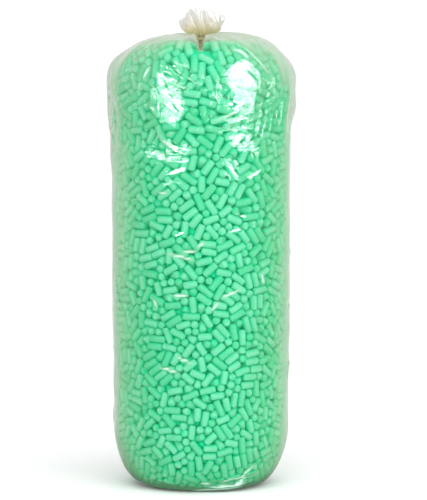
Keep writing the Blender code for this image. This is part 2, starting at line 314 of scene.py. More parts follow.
kind_of = rng.integers(0, len(PEANUT_KINDS), PEANUT_COUNT)
ball_radius = np.array([kind[0] for kind in PEANUT_KINDS])[kind_of] * BALL_FIT
half_rod = np.array([kind[1] for kind in PEANUT_KINDS])[kind_of] / 2 - ball_radius * END_FIT
centre = random_places(PEANUT_COUNT)
growth = SIZE_AT_BASE + SIZE_GAIN * ease(centre[:, 2] / 1.1)
ball_radius *= growth
half_rod *= growth
axis = rng.normal(size=(PEANUT_COUNT, 3))
axis /= np.linalg.norm(axis, axis=1)[:, None]
ball_size = np.repeat(ball_radius, 3)


def rod_balls():
    """The middles of all the balls, three of each peanut one after another."""
    rod = axis * half_rod[:, None]
    return (centre[:, None, :] + BALL_OFFSETS[None, :, None] * rod[:, None, :]).reshape(-1, 3)


for step in range(PACKING_STEPS):
    balls = rod_balls()
    if step % SEARCH_EVERY == 0:
        pairs = near_pairs(balls, SEARCH_REACH)
    gap = balls[pairs[:, 0]] - balls[pairs[:, 1]]
    apart = np.linalg.norm(gap, axis=1) + 1e-9
    overlap = np.maximum(ball_size[pairs[:, 0]] + ball_size[pairs[:, 1]] - apart, 0)
    shove = gap * (SPRING * overlap / apart)[:, None]
    push = np.zeros_like(balls)
    for k in range(3):
        push[:, k] += np.bincount(pairs[:, 0], shove[:, k], len(balls))
        push[:, k] -= np.bincount(pairs[:, 1], shove[:, k], len(balls))
    depth, inward = depth_inside(balls)
    too_shallow = np.maximum(ball_size + FILM_GAP - depth, 0)
    too_deep = np.maximum(depth - LAYER_DEPTH, 0)
    press = OUTWARD_PRESS * (1 - step / PACKING_STEPS)
    push += inward * (too_shallow - DEEP_PULL * too_deep - press)[:, None]
    push = push.reshape(-1, 3, 3)
    centre += push.mean(axis=1) * PUSH_GAIN
    axis += (push[:, 2] - push[:, 0]) / (2 * half_rod[:, None])
    axis /= np.linalg.norm(axis, axis=1)[:, None]

depth, inward = depth_inside(centre)
outer = depth < 0.020
end_on = outer & (np.abs(np.einsum("ij,ij->i", axis, inward)) > END_ON)
print("mean overlap of touching balls, mm:", round(1000 * float(overlap[overlap > 0].mean()), 2))
print("peanuts against the film:", int(outer.sum()), "end on among them:", int(end_on.sum()))

# %% [markdown]
# The bag isn't quite round, so each peanut moves with the film's own lobes, and any that would
# now stick out is pushed back in. Then a peanut of its kind is copied to each place, turned about
# its own axis at random. The heap is cut into four pieces by height, because a piece stays under
# 200,000 triangles. Each point also keeps how deeply it is buried, which sets the painted gap light
# and painted glow in the foam's colour.

# %% Fit the packed peanuts to the bag
PUSH_BACK_ROUNDS = 5
HEIGHT_STEP = 0.001
NOTCH_ROOM = 0.014
NOTCH_ROOM_WIDTH = 0.015


def stretch(points):
    """How much wider than the turned outline the bag is at these points."""
    angle = np.arctan2(points[:, 1], points[:, 0])
    height = points[:, 2]
    wider = 1 + lobes(angle, height) * ease(height / CORNER_HEIGHT) / WAIST_RADIUS
    squarer = shoulder_radius(height, shoulder_squareness(angle))
    return wider * squarer / shoulder_radius(height, HEAP_SQUARENESS)


def heap_radius(points):
    """The heap's radius at the height and the angle of these points."""
    return np.interp(points[:, 2], heap_outline[1:-1, 1], heap_outline[1:-1, 0]) * stretch(points)


def depth_in_bag(points):
    """Like depth_inside, for the bag's real shape, and only above its rounded bottom."""
    radius = heap_radius(points)
    lean = (heap_radius(points + (0, 0, HEIGHT_STEP)) - radius) / HEIGHT_STEP
    steep = np.sqrt(1 + lean * lean)
    across = np.maximum(np.linalg.norm(points[:, :2], axis=1), 1e-6)
    depth = np.where(points[:, 2] > CORNER_HEIGHT, (radius - across) / steep, 1.0)
    return depth, np.column_stack([-points[:, :2] / (across * steep)[:, None], lean / steep])


centre[:, :2] *= stretch(centre)[:, None]
for _ in range(PUSH_BACK_ROUNDS):
    depth, inward = depth_in_bag(rod_balls())
    push = (inward * np.maximum(ball_size + FILM_GAP - depth, 0)[:, None]).reshape(-1, 3, 3)
    strongest = np.linalg.norm(push, axis=2).argmax(axis=1)
    centre += push[np.arange(PEANUT_COUNT), strongest]
under_notch = np.exp(-((centre[:, 0] / NOTCH_ROOM_WIDTH) ** 2)) * (centre[:, 1] < 0)
under_notch = under_notch * ease((centre[:, 2] - 1.10) / 0.05)
centre[:, 2] -= slump(centre) + NOTCH_ROOM * under_notch
spin_about = rng.uniform(0, 2 * math.pi, PEANUT_COUNT)
print("highest peanut's middle:", round(float(centre[:, 2].max()), 3), "m")

# %% Copy the peanuts into the bag
HEAP_LEVELS = [
    ("peanuts_bottom", -1.0),
    ("peanuts_low", 0.26),
    ("peanuts_high", 0.56),
    ("peanuts_top", 0.86),
]
BURIAL_START = 0.0026
BURIAL_RANGE = 0.0082


def keep_burial(mesh):
    """Stores how deep each point lies in the heap, 0 at the film to 1 behind the outer peanuts."""
    points = np.empty(len(mesh.vertices) * 3)
    mesh.vertices.foreach_get("co", points)
    points = points.reshape(-1, 3)
    points[:, 2] += slump(points)
    points[:, :2] /= stretch(points)[:, None]
    depth = np.concatenate([depth_inside(part)[0] for part in np.array_split(points, 40)])
    # The burial sets where the foam's painted gap light and painted glow show.
    burial = ease((depth - BURIAL_START) / BURIAL_RANGE).astype(np.float32)
    mesh.attributes.new("buried", "FLOAT", "POINT").data.foreach_set("value", burial)


def heap_piece(name, chosen):
    """One mesh of all the chosen peanuts."""
    bm = bmesh.new()
    for index in chosen:
        mesh = peanut_meshes[kind_of[index]]
        turn = Vector(axis[index]).to_track_quat("Z", "Y").to_matrix().to_4x4()
        place = Matrix.Translation(centre[index]) @ turn
        place = place @ Matrix.Rotation(spin_about[index], 4, "Z")
        place = place @ Matrix.Diagonal((growth[index], growth[index], growth[index], 1))
        mesh.transform(place)
        bm.from_mesh(mesh)
        mesh.transform(place.inverted())
    mesh = finished_mesh(bm, name)
    keep_burial(mesh)
    return new_piece(name, mesh)


heap_pieces = []
level_tops = [level for _, level in HEAP_LEVELS[1:]] + [9.0]
for (name, low), high in zip(HEAP_LEVELS, level_tops):
    chosen = np.nonzero((centre[:, 2] >= low) & (centre[:, 2] < high))[0]
    heap_pieces.append(heap_piece(name, chosen))
    triangles = sum(len(face.vertices) - 2 for face in heap_pieces[-1].data.polygons)
    print(name, "peanuts:", len(chosen), "triangles:", triangles)

# %% [markdown]
# Behind the packed layers more peanuts fill the bag. Nobody sees them, so a plain turned body
# in the same foam closes the view through the gaps.

# %% The inside of the heap
CORE_DEPTH = 0.046
CORE_SIDES = 40
CORE_TIP = 0.03

bm = bmesh.new()
inset_outline = heap_outline[1:] + CORE_DEPTH * np.vstack([leg_inward[1:], leg_inward[-1:]])
keep = [(max(r, 0.0), z) for r, z in inset_outline if CORE_DEPTH < z and r > CORE_TIP]
keep = [(0.0, keep[0][1])] + keep[1:] + [(0.0, HEAP_TOP - CORE_DEPTH)]
points = [bm.verts.new((r, 0, z)) for r, z in keep]
spin_profile(bm, points, CORE_SIDES, 1e-5)
mesh = finished_mesh(bm, "heap_inside")
# The core lies deep, so it takes the painted gap light and painted glow all over.
keep_burial(mesh)
heap_inside = new_piece("heap_inside", mesh)
print("heap_inside faces:", len(mesh.polygons))

# %% [markdown]
# ## The film
#
# The film is one sheet. Its outline is spun into a surface first, and each point keeps two
# numbers: how far up the outline it lies, and its angle. Everything else moves those points: the
# lobes, the pleats that run in to the neck, the ruffled mouth, and the small dents and creases.

# %% Spin the film
COLUMNS = 336


def film_outline():
    """(radius, height) from the middle of the base to the mouth, in even small steps."""
    base = [(float(r), 0.0) for r in np.linspace(0, BASE_RADIUS, 9)[:-1]]
    body = body_outline(32, 150)
    shoulder = arc((BULGE_RADIUS, BULGE_HEIGHT), (CREST_RADIUS, CREST_HEIGHT), 40)
    dip = []
    for share in np.linspace(0, 1, 17)[1:]:
        radius = CREST_RADIUS + (NECK_RADIUS - CREST_RADIUS) * math.sin(math.pi / 2 * share)
        dip.append((radius, float(CREST_HEIGHT + (NECK_BOTTOM - CREST_HEIGHT) * ease(share))))
    neck = [(NECK_RADIUS, float(z)) for z in np.linspace(NECK_BOTTOM, NECK_TOP, 6)[1:]]
    tuft = []
    for share in np.linspace(0, 1, 27)[1:]:
        radius = NECK_RADIUS + (MOUTH_RADIUS - NECK_RADIUS) * math.sin(math.pi / 2 * share) ** 0.55
        risen = 0.25 * share + 0.75 * share * share
        tuft.append((radius, NECK_TOP + (MOUTH_HEIGHT - NECK_TOP) * risen))
    lengths = [len(base), len(body), len(shoulder), len(dip), len(neck), len(tuft)]
    return base + body + shoulder + dip + neck + tuft, np.cumsum(lengths)


outline, zone_ends = film_outline()
BODY_START, BODY_END, SHOULDER_END, DIP_END, NECK_END, TUFT_END = (int(n) for n in zone_ends)
bm = bmesh.new()
row_layer = bm.verts.layers.int.new("row")
points = []
for row, (radius, height) in enumerate(outline):
    point = bm.verts.new((radius * math.cos(FRONT), radius * math.sin(FRONT), height))
    point[row_layer] = row
    points.append(point)
spin_profile(bm, points, COLUMNS, 1e-6)
film_mesh = finished_mesh(bm, "film")

flat = np.empty(len(film_mesh.vertices) * 3)
film_mesh.vertices.foreach_get("co", flat)
flat = flat.reshape(-1, 3)
row = np.empty(len(film_mesh.vertices), dtype=np.int32)
film_mesh.attributes["row"].data.foreach_get("value", row)
column = (np.arctan2(flat[:, 1], flat[:, 0]) - FRONT) / (2 * math.pi) * COLUMNS
column = np.round(column).astype(int) % COLUMNS
column[row == 0] = 0
grid = np.zeros((TUFT_END, COLUMNS), dtype=int)
grid[row, column] = np.arange(len(flat))
grid[0, :] = grid[0, 0]
print("film rows and columns:", TUFT_END, COLUMNS, "faces:", len(film_mesh.polygons))

# %% [markdown]
# Helpers for relief on the film. All of them work on the whole grid of rows and columns at once.
# A wave that repeats a whole number of times round the bag closes without a seam.

# %% Relief helpers
rows_all = np.arange(TUFT_END)[:, None]
turn_all = 2 * math.pi * np.arange(COLUMNS)[None, :] / COLUMNS
angle_all = turn_all + FRONT
outline_radius = np.array([p[0] for p in outline])[:, None]
outline_height = np.array([p[1] for p in outline])[:, None]


def ruffle(waves, seed, sharp=1.0, turn=turn_all):
    """An uneven wave round the bag, -1 to 1, of whole-number waves with random weights."""
    local = np.random.default_rng(seed)
    total = np.zeros_like(turn)
    for count in waves:
        total += local.uniform(0.6, 1.0) * np.sin(count * turn + local.uniform(0, 2 * math.pi))
    total /= np.abs(total).max()
    return np.sign(total) * np.abs(total) ** sharp


def blur(field, rows, columns):
    """Smooths a grid field, with wrap-around along each row."""
    for _ in range(rows):
        padded = np.vstack([field[:1], field, field[-1:]])
        field = (padded[:-2] + 2 * field + padded[2:]) / 4
    for _ in range(columns):
        field = (np.roll(field, 1, axis=1) + 2 * field + np.roll(field, -1, axis=1)) / 4
    return field


def turned_from(angle_degrees):
    """How far each column stands from this direction, -pi to pi."""
    return (angle_all - math.radians(angle_degrees) + math.pi) % (2 * math.pi) - math.pi


CREASE_BOW = 0.10
VALLEY_SHARE = 0.6
VALLEY_SHIFT = 1.6


def crease(angle_degrees, height, length, tilt_degrees, width, rise):
    """One fold in the film: a ridge with a valley beside it, fading out at both ends."""
    across = turned_from(angle_degrees) * outline_radius
    up = outline_height - height
    tilt = math.radians(tilt_degrees)
    along = across * math.cos(tilt) + up * math.sin(tilt)
    beside = -across * math.sin(tilt) + up * math.cos(tilt)
    beside = beside + CREASE_BOW * along * along / length
    fade = np.clip(1 - (2 * along / length) ** 2, 0, 1) ** 1.5
    ridge = np.exp(-((beside / width) ** 2))
    valley = np.exp(-(((beside - VALLEY_SHIFT * width) / width) ** 2))
    return rise * fade * (ridge - VALLEY_SHARE * valley)


def panel(angle_degrees, height, width, tall, radius, slant):
    """A stretch of film pulled upright at this radius, slanted to the left, and its mask."""
    above = outline_height + up - height
    beside = turned_from(angle_degrees) * outline_radius + slant * above
    mask = np.exp(-((beside / width) ** 4) - (above / tall) ** 4)
    return (radius - outline_radius - out) * mask, mask


print("relief grid:", outline_radius.shape, turn_all.shape)

# %% [markdown]
# First the large forms. The body keeps the CAD model's lobes, plus a soft corner that stands out at
# the right of the shoulder. Pleats start on the shoulder, deepen towards the neck and are tightest
# under the tie. Above it the film bursts open, leans a little to the right and ruffles.

# %% Large forms
CORNER_BULGE = 0.0075
CORNER_ANGLE = -8
CORNER_SPREAD = math.radians(26)
CORNER_MIDDLE = 1.068
CORNER_HALF = 0.035
PLEAT_SINK = 0.0060
FINE_SINK = 0.0022
BROAD_RISE = 0.0030

shoulder_share = np.clip((rows_all - BODY_END) / (SHOULDER_END - BODY_END), 0, 1)
dip_share = np.clip((rows_all - SHOULDER_END) / (DIP_END - SHOULDER_END), 0, 1)
tuft_share = np.clip((rows_all - NECK_END + 1) / (TUFT_END - NECK_END), 0, 1)
in_body = (rows_all < BODY_END).astype(float)
under_crest = rows_all < SHOULDER_END
under_neck = rows_all < DIP_END

out = lobes(angle_all, outline_height) * ease(outline_height / CORNER_HEIGHT)
out = out * (1 - ease(shoulder_share)) * under_crest
up = np.zeros_like(out)

share = np.sin(np.linspace(0, math.pi / 2, SHOULDER_END - BODY_END + 1))[1:, None]
square_height = BULGE_HEIGHT + (CREST_HEIGHT - BULGE_HEIGHT) * share
for_angle = shoulder_radius(square_height, shoulder_squareness(angle_all))
out[BODY_END:SHOULDER_END] += for_angle - outline_radius[BODY_END:SHOULDER_END]

x = (outline_radius + out) * np.cos(angle_all)
y = (outline_radius + out) * np.sin(angle_all)
heaped = np.stack([x, y, outline_height + up], axis=2)
up -= slump(heaped) * under_neck * (1 - ease(dip_share))

corner = np.exp(-((turned_from(CORNER_ANGLE) / CORNER_SPREAD) ** 2))
corner = corner * np.exp(-(((outline_height - CORNER_MIDDLE) / CORNER_HALF) ** 2))
out += CORNER_BULGE * corner * under_crest

fine_pleats = ruffle([23, 31, 38, 47], 3, 0.8)
broad_pleats = ruffle([7, 11, 13, 17], 4)
gathered = ease(shoulder_share * 1.15 - 0.15)
cad_pleats = 0.5 + 0.5 * np.cos(PLEATS * turn_all)
sink = PLEAT_SINK * cad_pleats + FINE_SINK * (0.5 + 0.5 * fine_pleats)
up += -gathered * sink * under_neck
up += BROAD_RISE * gathered * broad_pleats * under_neck * (1 - 0.6 * dip_share)

# %% The notch at the front, and the pleats under the tie
NOTCH_DEPTH = 0.012
NOTCH_REACH = 0.222
NECK_PLEAT_DEPTH = 0.0046
NECK_ROWS = 8

notch_width = 0.0036 + 0.0016 * (1 - dip_share)
notch = np.exp(-((turned_from(-90) * np.maximum(outline_radius, 0.012) / notch_width) ** 2))
notch *= (rows_all >= BODY_END) * ease((DIP_END - rows_all) / NECK_ROWS)
notch *= ease((NOTCH_REACH - outline_radius) / 0.05)
up += -NOTCH_DEPTH * notch

in_neck = ease((rows_all - (DIP_END - NECK_ROWS)) / NECK_ROWS) * (rows_all < NECK_END)
pleat_share = in_neck + (rows_all >= NECK_END)
neck_pleats = 0.5 + 0.5 * np.cos(PLEATS * turn_all + 2.4 * broad_pleats)
out += -NECK_PLEAT_DEPTH * neck_pleats * pleat_share * (1 - ease(2 * tuft_share))
print("rows of the neck:", DIP_END - NECK_ROWS, "to", NECK_END)

# %% The loose film above the tie
BROAD_RUFFLE, MIDDLE_RUFFLE, FINE_RUFFLE = 0.0105, 0.0050, 0.0024
DROOP_LEFT, DROOP_RIGHT, DROOP_ALL = 0.027, 0.010, 0.003
TUFT_TILT = 0.009
TUFT_LEAN = 0.010
TIP_WAVE, TIP_RAGS, TIP_FRAY = 0.0070, 0.0035, 0.0030

twisted = turn_all + tuft_share * (0.7 + 0.25 * np.sin(3 * turn_all) + 0.12 * np.sin(7 * turn_all))
broad_ruffles = BROAD_RUFFLE * ruffle([3, 5, 7], 12, 1, twisted)
middle_ruffles = MIDDLE_RUFFLE * ruffle([9, 13, 16], 13, 1, twisted)
out += tuft_share ** 0.8 * (broad_ruffles + middle_ruffles)
out += FINE_RUFFLE * np.sin(math.pi * tuft_share) * ruffle([22, 27, 35], 16, 1, twisted)
droop_left = np.maximum(np.cos(angle_all - math.radians(176)), 0) ** 3
droop_right = np.maximum(np.cos(angle_all), 0) ** 3
out += 0.008 * tuft_share * droop_left
droop = -DROOP_LEFT * droop_left - DROOP_RIGHT * droop_right
droop = droop - TUFT_TILT * np.cos(angle_all) - DROOP_ALL
up += tuft_share ** 1.5 * (droop + TIP_WAVE * ruffle([2, 4, 9], 14))
up += tuft_share ** 3 * (TIP_RAGS * ruffle([13, 19], 15) + TIP_FRAY * ruffle([29, 37, 52], 17))
lean_right = TUFT_LEAN * tuft_share * (1 - 0.3 * tuft_share)
print("largest move outwards, mm:", round(1000 * float(out.max()), 1))

# %% [markdown]
# Then the film meets the peanuts. From each point of the wall a ray goes inwards to the nearest
# peanut. Over a gap it has further to go, and there the film may sink in, as far as its
# tension lets it. That gives the real unevenness of a tight bag, and breaks up its highlights.

# %% Find the room under the film
RAY_ROWS = SHOULDER_END
RAY_START = 0.008
MAX_DENT = 0.012
FILM_CLEARANCE = 0.0007


def place_film(out, up):
    """The film's points for these moves outwards and upwards."""
    radius = outline_radius + out
    x = radius * np.cos(angle_all) + lean_right
    y = radius * np.sin(angle_all)
    return np.stack([x, y, outline_height + up + 0 * turn_all], axis=2)


combined = bmesh.new()
for piece in heap_pieces:
    combined.from_mesh(piece.data)
tree = BVHTree.FromBMesh(combined)
combined.free()

film_points = place_film(out, up)
limit = np.zeros((TUFT_END, COLUMNS))
slope = np.gradient(np.array(outline), axis=0)
slope /= np.linalg.norm(slope, axis=1)[:, None]
for r in range(BODY_START, RAY_ROWS):
    for c in range(COLUMNS):
        turn = angle_all[0, c]
        way = Vector((-slope[r, 1] * math.cos(turn), -slope[r, 1] * math.sin(turn), slope[r, 0]))
        start = Vector(film_points[r, c]) - RAY_START * way
        hit = tree.ray_cast(start, way, MAX_DENT + RAY_START)
        limit[r, c] = hit[3] - RAY_START - FILM_CLEARANCE if hit[0] else MAX_DENT
for shift in (1, -1):
    limit = np.minimum(limit, np.roll(limit, shift, axis=1))
above = np.vstack([limit[1:], limit[-1:]])
below = np.vstack([limit[:1], limit[:-1]])
inner_rows = slice(BODY_START + 1, RAY_ROWS - 1)
limit[inner_rows] = np.minimum(limit, np.minimum(above, below))[inner_rows]
print("room under the film, mm:", round(1000 * float(limit[inner_rows].mean()), 2))

# %% Dents between the peanuts
TIGHT_DENT = 0.45
SLACK_DENT = 0.20

slack = ease((outline_height - 0.80) / 0.18)
fade_in = ease((rows_all - BODY_START) / 10) * ease((RAY_ROWS - rows_all) / 26)
sunk = (TIGHT_DENT - (TIGHT_DENT - SLACK_DENT) * slack) * blur(np.maximum(limit, 0), 6, 8) * fade_in
sunk = np.minimum(blur(np.minimum(sunk, limit), 2, 2), limit)
mean_dent = 1000 * float(sunk[BODY_START:RAY_ROWS].mean())
print("film dents, mm: mean", round(mean_dent, 2), "deepest", round(1000 * float(sunk.max()), 2))

# %% [markdown]
# Last the creases. Where the film is slack it buckles into short sharp folds, most of them under
# the shoulder, and some round the waist. Between them lie a few flatter stretches, which catch
# the light as a whole. The front ones are placed one by one, and a seeded draw spreads more
# folds round the sides and the back.

# %% Creases at the front and the folded bottom seal
# Each fold's angle in degrees, height, length, tilt in degrees, width and rise.
front_creases = [
    (-118, 0.925, 0.085, 62, 0.0060, 0.0026),
    (-112, 0.905, 0.075, -38, 0.0055, 0.0022),
    (-104, 0.880, 0.110, -14, 0.0050, 0.0013),
    (-106, 0.855, 0.120, -6, 0.0050, 0.0012),
    (-116, 0.985, 0.095, 70, 0.0070, 0.0026),
    (-80, 0.990, 0.110, 24, 0.0050, 0.0026),
    (-76, 0.970, 0.120, 20, 0.0050, 0.0030),
    (-73, 0.950, 0.130, 14, 0.0050, 0.0028),
    (-70, 0.932, 0.120, 6, 0.0050, 0.0022),
    (-66, 0.905, 0.090, 55, 0.0060, 0.0022),
    (-72, 1.040, 0.120, -62, 0.0075, 0.0026),
    (-60, 1.070, 0.110, -48, 0.0070, 0.0026),
    (-103, 0.665, 0.100, 24, 0.0070, 0.0015),
    (-69, 0.672, 0.085, 12, 0.0070, 0.0016),
    (-102, 0.350, 0.080, 30, 0.0070, 0.0014),
    (-112, 0.790, 0.080, 28, 0.0070, 0.0012),
]
seal_folds = [
    (-66, 0.022, 0.190, 4, 0.0065, 0.0080),
    (-70, 0.040, 0.150, 8, 0.0045, 0.0050),
    (-50, 0.052, 0.110, 20, 0.0050, 0.0050),
    (-120, 0.030, 0.120, -8, 0.0050, 0.0030),
]
# Each panel's angle in degrees, height, half width, half height, radius and slant.
flat_panels = [
    (-109, 1.018, 0.034, 0.082, 0.2445, 0.35),
    (-66, 1.080, 0.034, 0.040, 0.2440, 0.0),
    (-69, 0.905, 0.032, 0.030, 0.2365, 0.0),
]
panels = [panel(*place) for place in flat_panels]
taut = np.clip(sum(mask for _, mask in panels), 0, 1)
relief = sum(crease(*fold) for fold in front_creases)
print("folds placed at the front:", len(front_creases) + len(seal_folds))

# %% Folds all round, and how taut panels calm them
FOLD_COUNT = 95
FRONT_SHARE = 0.4
CALM = {"dents": 0.92, "folds": 0.75, "swell": 0.90, "crinkle": 0.72}

draw = np.random.default_rng(21)
for _ in range(FOLD_COUNT):
    where = draw.uniform(-180, 180)
    at_front = -130 < where < -50
    height = draw.choice([draw.uniform(0.80, 1.08), draw.uniform(0.15, 0.80)])
    length = draw.uniform(0.05, 0.13)
    tilt = draw.uniform(-70, 70)
    width = draw.uniform(0.0035, 0.0060)
    fold = crease(where, height, length, tilt, width, draw.uniform(0.0014, 0.0032))
    relief = relief + (FRONT_SHARE if at_front else 1.0) * fold
sunk *= 1 - CALM["dents"] * taut
relief = relief * (1 - CALM["folds"] * taut) + sum(straight for straight, _ in panels)
relief = relief + sum(crease(*fold) for fold in seal_folds)
relief = relief * (rows_all >= BODY_START) * under_crest * ease((SHOULDER_END - rows_all) / 20)
relief = relief * ease((rows_all - BODY_START + 2) / 6)
print("relief, mm:", [round(1000 * float(end), 1) for end in (relief.min(), relief.max())])

# %% A slow swell, and the finished film
SWELL_WAVES = 26
SWELL_SHARE = 0.28
TIGHT_SWELL = 0.0006
SLACK_SWELL = 0.0026

waves = np.random.default_rng(5)
swell = np.zeros_like(out)
for _ in range(SWELL_WAVES):
    wavelength = waves.uniform(0.06, 0.22)
    heading = waves.uniform(0, math.pi)
    round_count = round(2 * math.pi * WAIST_RADIUS * math.cos(heading) / wavelength)
    rising = 2 * math.pi * math.sin(heading) / wavelength * outline_height
    swell += np.sin(round_count * turn_all + rising + waves.uniform(0, 6.28))
swell *= SWELL_SHARE * (TIGHT_SWELL + SLACK_SWELL * slack) * fade_in
swell *= 1 - CALM["swell"] * taut
slope_out = slope[:, 1][:, None]
slope_up = -slope[:, 0][:, None]
move = np.maximum(relief + swell - sunk, np.where(rows_all < RAY_ROWS, -limit, -1.0))
film_points = place_film(out + move * slope_out, up + move * slope_up)
film_points[:, :, 2] = np.maximum(film_points[:, :, 2], 0.0)
flat_points = np.empty_like(flat)
flat_points[grid.ravel()] = film_points.reshape(-1, 3)
flat_points[grid[0, 0]] = (0, 0, 0)
film_mesh.vertices.foreach_set("co", flat_points.ravel())
film_mesh.update()
film = new_piece("film", film_mesh)
film_mesh.shade_smooth()
print("top of the film:", round(float(flat_points[:, 2].max()), 4), "m")

# %% [markdown]
# The film isn't equally clear all over. Pulled tight it lets the peanuts show, and where it is
# slack, doubled or gathered it turns milky, and in the gathered neck it looks tan. The milk also
# carries painted shade, at the bottom of the front notch and towards the base, and painted glint
# lines along some folds. The mesh keeps that milkiness, its colour, and how crumpled the film is.

# %% Colours of the milky film, its painted shade, and its painted glint lines
FILM_MILK = np.array([0.68, 0.68, 0.58])
WALL_MILK = np.array([0.60, 0.64, 0.50])
BASE_PAINTED_SHADE = np.array([0.20, 0.40, 0.24])
PAINTED_GLINT_WHITE = np.array([0.68, 0.98, 0.83])
NOTCH_PAINTED_SHADE = np.array([0.30, 0.25, 0.13])
TUFT_TAN = np.array([0.80, 0.65, 0.37])
TUFT_WHITE = np.array([0.80, 0.79, 0.80])

LINE_SHAPES = {"thin": (0.0040, 1.2), "faint": (0.0028, 0.65), "seal": (0.0036, 1.1)}
# Each painted glint line's angle in degrees, height, length and tilt in degrees.
thin_painted_glints = [
    (-114, 0.776, 0.036, 2),
    (-103, 0.614, 0.100, -12),
    (-97, 0.627, 0.050, 4),
    (-90, 0.644, 0.034, 30),
    (-103, 0.514, 0.055, 2),
    (-120, 0.492, 0.034, -60),
    (-81, 0.487, 0.040, 50),
    (-71, 0.519, 0.070, 20),
    (-48, 0.553, 0.040, -75),
    (-101, 0.350, 0.055, -20),
    (-111, 0.323, 0.075, -14),
    (-125, 1.080, 0.050, 62),
    (-109, 0.895, 0.070, -26),
    (-64, 1.125, 0.060, -40),
]
faint_painted_glints = [
    (-71, 0.977, 0.125, 18),
    (-66, 0.961, 0.110, 18),
    (-76, 0.966, 0.090, 20),
    (-64, 0.993, 0.075, 14),
    (-72, 0.945, 0.100, 12),
    (-118, 0.915, 0.050, 50),
    (-112, 0.902, 0.060, -38),
    (-106, 0.886, 0.055, 30),
    (-115, 0.874, 0.065, -15),
    (-109, 0.925, 0.050, 24),
    (-56, 1.120, 0.090, -42),
    (-49, 1.095, 0.080, -50),
]
seal_painted_glints = [
    (-74, 0.010, 0.150, 3),
    (-70, 0.022, 0.140, 6),
    (-65, 0.036, 0.100, 12),
    (-54, 0.056, 0.080, 36),
    (-58, 0.030, 0.060, 24),
    (-86, 0.026, 0.040, -6),
]


def painted_glint_marks(folds, kind):
    """How strongly these painted glint lines show at each point of the film."""
    return sum(crease(*fold, *LINE_SHAPES[kind]) for fold in folds)


# The lines are painted glints: pale streaks along folds of the film, milkier than the film around
# them.
lines = np.clip(painted_glint_marks(thin_painted_glints, "thin") + painted_glint_marks(faint_painted_glints, "faint"), 0, 1)
lines = np.maximum(lines, np.clip(painted_glint_marks(seal_painted_glints, "seal"), 0, 0.8))
# Painted shade: the bottom of the front notch gets dark olive milk where the fold falls into
# shadow.
notch_painted_shade = notch * ease((outline_height - 1.150) / 0.016)
print("fold lines:", len(thin_painted_glints) + len(faint_painted_glints) + len(seal_painted_glints))

# %% Milkiness of the film
HAZE = {
    "shoulder": 0.10, "sides": 0.44, "dip": 0.45, "neck": 0.80, "mouth": 0.28,
    "base": 0.40, "base_edge": 0.45, "seal": 0.14, "notch": 0.60, "lines": 0.80,
}
SEAL_SPREAD = 0.34


def keep_on_film(name, field):
    """Stores a grid of numbers on the film's points."""
    values = np.zeros(len(flat), dtype=np.float32)
    values[grid.ravel()] = field.ravel()
    film_mesh.attributes.new(name, "FLOAT", "POINT").data.foreach_set("value", values)


over_neck = rows_all >= DIP_END
shoulder_haze = HAZE["shoulder"] * ease(shoulder_share * 1.2 - 0.2) * (rows_all >= BODY_END)
side_haze = HAZE["sides"] * np.cos(angle_all) ** 2 * ease((outline_height - 0.94) / 0.20)
side_haze = side_haze * (0.8 + 0.2 * broad_pleats) * under_neck
dip_haze = HAZE["dip"] * ease(dip_share * 1.6 - 0.4) * (under_neck & ~under_crest)
tuft_haze = (HAZE["neck"] - (HAZE["neck"] - HAZE["mouth"]) * ease(tuft_share)) * over_neck
base_haze = HAZE["base"] * ease((0.034 - outline_height) / 0.030)
# The base edge's extra milk carries the painted shade over the peanuts there.
base_haze = base_haze + HAZE["base_edge"] * ease((0.018 - outline_height) / 0.012)
seal_haze = HAZE["seal"] * np.exp(-((turned_from(-66) / SEAL_SPREAD) ** 4))
seal_haze = seal_haze * ease((0.050 - outline_height) / 0.02)
haze = shoulder_haze + side_haze + dip_haze + tuft_haze + (base_haze + seal_haze) * in_body
haze = haze + HAZE["notch"] * notch_painted_shade + HAZE["lines"] * lines
keep_on_film("haze", np.clip(haze, 0, 1))
crumpled = 0.15 + 0.85 * slack * ease((1.14 - outline_height) / 0.06) + 0 * turn_all
crumpled = np.where(rows_all >= DIP_END - 4, 1.0, crumpled * (1 - CALM["crinkle"] * taut))
keep_on_film("crumpled", crumpled)
print("haze runs from", round(float(haze.min()), 2), "to", round(float(haze.max()), 2))

# %% Colour of the milkiness
tuft_top = ease(tuft_share * 1.3 - 0.3)[:, :, None]
tuft_colour = TUFT_TAN + (TUFT_WHITE - TUFT_TAN) * tuft_top
body_colour = WALL_MILK + (FILM_MILK - WALL_MILK) * ease((outline_height - 0.90) / 0.20)[:, :, None]
colour = np.where(over_neck[:, :, None], tuft_colour, body_colour)
colour = colour + np.zeros((TUFT_END, COLUMNS, 1))
# Towards the floor the milk darkens to a dark green painted shade.
colour += (BASE_PAINTED_SHADE - colour) * (ease((0.075 - outline_height) / 0.06) * in_body)[:, :, None]
# The notch's painted shade.
colour += (NOTCH_PAINTED_SHADE - colour) * np.clip(1.3 * notch_painted_shade, 0, 1)[:, :, None]
# Painted glints: the lines turn the milk pale mint, and mostly diffuse rather than translucent.
colour += (PAINTED_GLINT_WHITE - colour) * np.clip(3 * lines, 0, 1)[:, :, None]
flat_colour = np.ones((len(flat), 4), dtype=np.float32)
flat_colour[grid.ravel(), :3] = colour.reshape(-1, 3)
flat_colour[grid.ravel(), 3] = (0.5 * (1 - lines)).ravel()
milk_layer = film_mesh.attributes.new("milk_colour", "FLOAT_COLOR", "POINT")
milk_layer.data.foreach_set("color", flat_colour.ravel())
print("mean milk colour:", [round(float(value), 2) for value in flat_colour.mean(axis=0)])

# %% [markdown]
# ## Finishes
#
# Every finish here is a small tree of nodes. Three helpers keep the trees short: one makes a node
# and sets or links its sockets, one makes a colour ramp, and one maps a range of numbers.

